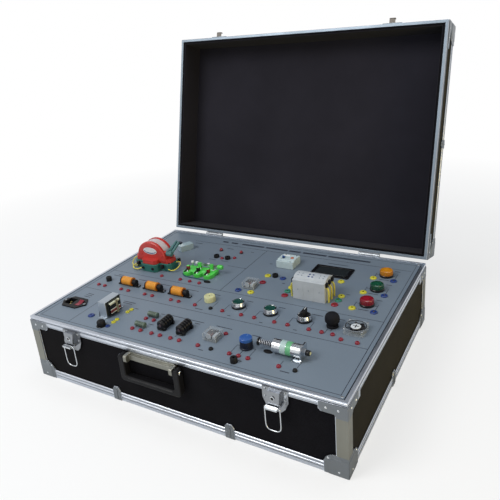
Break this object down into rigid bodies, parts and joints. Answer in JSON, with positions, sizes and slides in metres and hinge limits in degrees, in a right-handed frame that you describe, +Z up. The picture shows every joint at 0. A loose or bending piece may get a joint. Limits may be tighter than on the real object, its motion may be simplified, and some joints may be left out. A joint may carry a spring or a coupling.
{
  "type": "electrical trainer case",
  "caption": "Portable electrical training kit in a hinged aluminium-edged case: switches, lamps, coils, relays, fan, solenoid and generator on a socketed panel",
  "frame": {"origin": "middle of the base's underside, which stands on the table", "axes": "+X to the right along the front, +Y to the back where the hinges are, +Z up"},
  "size_m": [0.692, 0.7488, 0.6571],
  "materials": {
    "skin": "black textured skin on plywood",
    "lining": "dark cloth",
    "aluminium": "satin anodised",
    "chrome": "polished plating",
    "steel": "bright",
    "panel": "printed grey sheet",
    "black": "moulded",
    "white": "moulded",
    "cream": "moulded",
    "orange": "lacquered",
    "red": "moulded",
    "green": "moulded",
    "bright_green": "moulded",
    "teal": "moulded",
    "blue": "moulded",
    "clear": "clear moulded",
    "board": "circuit board with parts"
  },
  "bodies": {
    "case": {"base_shell": "skin", "base_rim": "aluminium", "base_edging": "aluminium", "control_panel": "panel", "base_hinge_left": "steel", "base_hinge_right": "steel", "latch_plate_left": "chrome", "latch_plate_right": "chrome", "handle_mount": "chrome", "power_supply": "board", "coil_left": "orange", "coil_middle": "orange", "coil_right": "orange", "choke_left": "black", "choke_right": "black", "relay_front": "clear", "relay_back": "clear", "buzzer": "cream", "button_left_bezel": "chrome", "button_right_bezel": "chrome", "selector_bezel": "chrome", "lamp_orange": "orange", "lamp_green": "green", "lamp_red": "red", "fan_frame": "clear", "display": "black", "breaker_body": "white", "contactor": "white", "solenoid_body": "chrome", "solenoid_spring": "steel", "transformer_frame": "aluminium", "transformer_core": "black", "inlet_body": "black", "generator_foot": "green", "generator_housing": "red", "knife_base": "bright_green"},
    "lid": {"lid_shell": "skin", "lid_rim": "aluminium", "lid_edging": "aluminium", "lid_lining": "lining", "lid_hinge_left": "steel", "lid_hinge_right": "steel"},
    "lever_left": {"latch_lever_left": "chrome"},
    "lever_right": {"latch_lever_right": "chrome"},
    "bail_left": {"latch_bail_left": "chrome"},
    "bail_right": {"latch_bail_right": "chrome"},
    "handle": {"carry_handle": "black"},
    "rocker": {"inlet_rocker": "red"},
    "fuse": {"fuse_cap": "black"},
    "generator_lever": {"generator_arm": "teal"},
    "blade": {"knife_blade": "steel"},
    "push_left": {"button_left": "green"},
    "push_right": {"button_right": "green"},
    "selector": {"selector_knob": "black"},
    "mushroom": {"mushroom_button": "black"},
    "rotor": {"fan_rotor": "black"},
    "toggle": {"breaker_toggle": "blue"},
    "test": {"test_button": "orange"},
    "dial": {"pot_knob": "black"},
    "plunger": {"solenoid_plunger": "black"}
  },
  "joints": [
    {"name": "lid_hinge", "type": "hinge", "parent": "case", "child": "lid", "pos_m": [0, 0.2624, 0.144], "axis": [1, 0, 0], "range_deg": [0, 105]},
    {"name": "handle_swing", "type": "hinge", "parent": "case", "child": "handle", "pos_m": [-0.02484, -0.2655, 0.117], "axis": [1, 0, 0], "range_deg": [-95, 2]},
    {"name": "lever_left_fold", "type": "hinge", "parent": "case", "child": "lever_left", "pos_m": [-0.22598, -0.2638, 0.1093], "axis": [1, 0, 0], "range_deg": [0, 75]},
    {"name": "bail_left_swing", "type": "hinge", "parent": "lever_left", "child": "bail_left", "pos_m": [-0.22598, -0.271, 0.1086], "axis": [1, 0, 0], "range_deg": [-257.5, 0]},
    {"name": "lever_right_fold", "type": "hinge", "parent": "case", "child": "lever_right", "pos_m": [0.22598, -0.2638, 0.1093], "axis": [1, 0, 0], "range_deg": [0, 75]},
    {"name": "bail_right_swing", "type": "hinge", "parent": "lever_right", "child": "bail_right", "pos_m": [0.22598, -0.271, 0.1086], "axis": [1, 0, 0], "range_deg": [-257.5, 0]},
    {"name": "rocker_tilt", "type": "hinge", "parent": "case", "child": "rocker", "pos_m": [-0.28092, -0.17703, 0.1418], "axis": [1, 0, 0], "range_deg": [-18, 0]},
    {"name": "fuse_turn", "type": "hinge", "parent": "case", "child": "fuse", "pos_m": [-0.17089, -0.22711, 0.1443], "axis": [0, 0, 1], "range_deg": [0, 90]},
    {"name": "generator_lever_swing", "type": "hinge", "parent": "case", "child": "generator_lever", "pos_m": [-0.19813, 0.03407, 0.1863], "axis": [1, 0, 0], "range_deg": [-25, 15]},
    {"name": "blade_swing", "type": "hinge", "parent": "case", "child": "blade", "pos_m": [-0.12059, 0.05282, 0.161], "axis": [0, 1, 0], "range_deg": [-100, 0]},
    {"name": "push_left_press", "type": "slide", "parent": "case", "child": "push_left", "axis": [0, 0, -1], "range_m": [0, 0.004], "stiffness_N_per_m": 200, "springref_m": -0.003},
    {"name": "push_right_press", "type": "slide", "parent": "case", "child": "push_right", "axis": [0, 0, -1], "range_m": [0, 0.004], "stiffness_N_per_m": 200, "springref_m": -0.003},
    {"name": "selector_turn", "type": "hinge", "parent": "case", "child": "selector", "pos_m": [0.19187, -0.0616, 0.1428], "axis": [0, 0, 1], "range_deg": [-90, 0]},
    {"name": "mushroom_press", "type": "slide", "parent": "case", "child": "mushroom", "axis": [0, 0, -1], "range_m": [0, 0.004], "stiffness_N_per_m": 200, "springref_m": -0.003},
    {"name": "rotor_spin", "type": "hinge", "parent": "case", "child": "rotor", "pos_m": [0.29238, -0.0616, 0.1428], "axis": [0, 0, 1], "continuous": true},
    {"name": "toggle_flip", "type": "hinge", "parent": "case", "child": "toggle", "pos_m": [0.04918, 0.15124, 0.1587], "axis": [1, 0, 0], "range_deg": [-56, 0]},
    {"name": "test_press", "type": "slide", "parent": "case", "child": "test", "axis": [0, 0, -1], "range_m": [0, 0.0012], "stiffness_N_per_m": 200, "springref_m": -0.002},
    {"name": "dial_turn", "type": "hinge", "parent": "case", "child": "dial", "pos_m": [0.13468, -0.18404, 0.1428], "axis": [0, 0, 1], "range_deg": [-150, 150]},
    {"name": "plunger_pull", "type": "slide", "parent": "case", "child": "plunger", "axis": [1, 0, 0], "range_m": [0, 0.01], "stiffness_N_per_m": 120, "springref_m": -0.005, "deforming": ["solenoid_spring"]}
  ],
  "couplings": [
    {"joint": "bail_left_swing", "follows": "lever_left_fold", "ratio": -3.4333},
    {"joint": "bail_right_swing", "follows": "lever_right_fold", "ratio": -3.4333}
  ]
}
